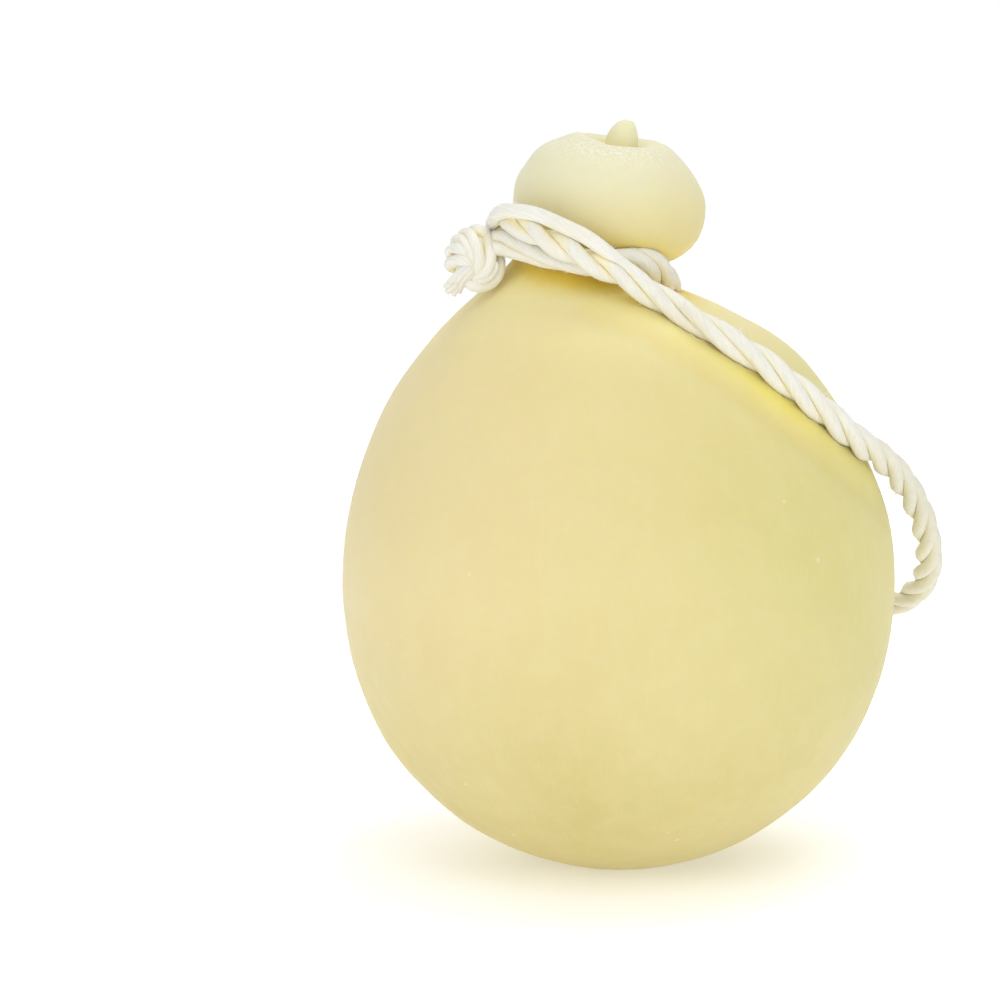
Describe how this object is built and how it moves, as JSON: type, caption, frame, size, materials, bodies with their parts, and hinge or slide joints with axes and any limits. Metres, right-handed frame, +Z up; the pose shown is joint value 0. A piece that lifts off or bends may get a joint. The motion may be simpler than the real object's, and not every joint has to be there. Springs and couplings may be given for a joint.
{
  "type": "ball of cheese",
  "caption": "Ball of stretched-curd cheese with a pinched neck and small dimpled head, tied round the neck with a twisted cord that loops down one side.",
  "frame": {"origin": "centre of the small flat spot under the body, on the surface that the ball stands on", "axes": "+Z up along the body towards the neck and head, +X towards the side over which the cord runs down, -Y towards the front"},
  "size_m": [0.1333, 0.1333, 0.161],
  "materials": {
    "cheese": "satin",
    "cord": "matte"
  },
  "bodies": {
    "root": {"cheese_ball": "cheese", "tie_cord": "cord", "stopper_knot": "cord", "loop_knot": "cord"}
  },
  "joints": []
}
